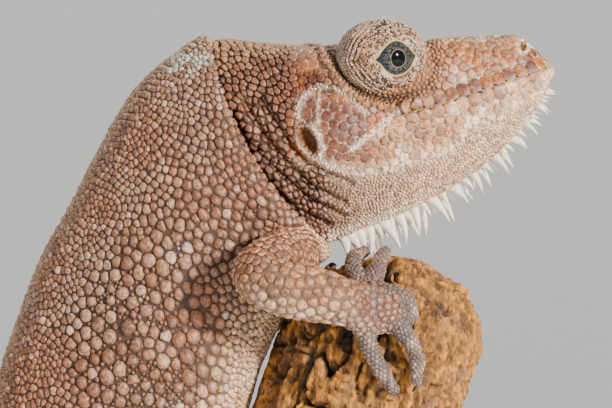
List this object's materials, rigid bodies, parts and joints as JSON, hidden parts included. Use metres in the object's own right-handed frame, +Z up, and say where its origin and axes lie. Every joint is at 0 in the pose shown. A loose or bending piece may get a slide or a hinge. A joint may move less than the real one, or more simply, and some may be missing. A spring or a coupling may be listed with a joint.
{
  "type": "cuban anole",
  "caption": "Bearded Cuban anole, a large casque-headed lizard with turret eyes, gripping the top of a cut branch with its tail wound round it, on a plain round stand.",
  "frame": {"origin": "middle of the stand base's underside, on the surface that it stands on", "axes": "+X the way the animal's head points, +Y its left side, +Z up"},
  "size_m": [0.1116, 0.108, 0.2275],
  "materials": {
    "skin": "matt, scaled",
    "throat": "matt, finely scaled",
    "eye": "wet gloss",
    "wood": "raw, barked",
    "steel": "satin",
    "plinth": "black satin paint"
  },
  "bodies": {
    "root": {"head": "skin", "jaw": "throat", "neck": "skin", "torso": "skin", "eye_right": "eye", "eye_left": "eye", "tail_1": "skin", "tail_2": "skin", "tail_3": "skin", "tail_4": "skin", "upper_arm_right": "skin", "forearm_right": "skin", "hand_right": "skin", "upper_arm_left": "skin", "forearm_left": "skin", "hand_left": "skin", "thigh_right": "skin", "shank_right": "skin", "foot_right": "skin", "thigh_left": "skin", "shank_left": "skin", "foot_left": "skin", "perch": "wood", "stand_rod": "steel", "stand_base": "plinth"}
  },
  "joints": []
}
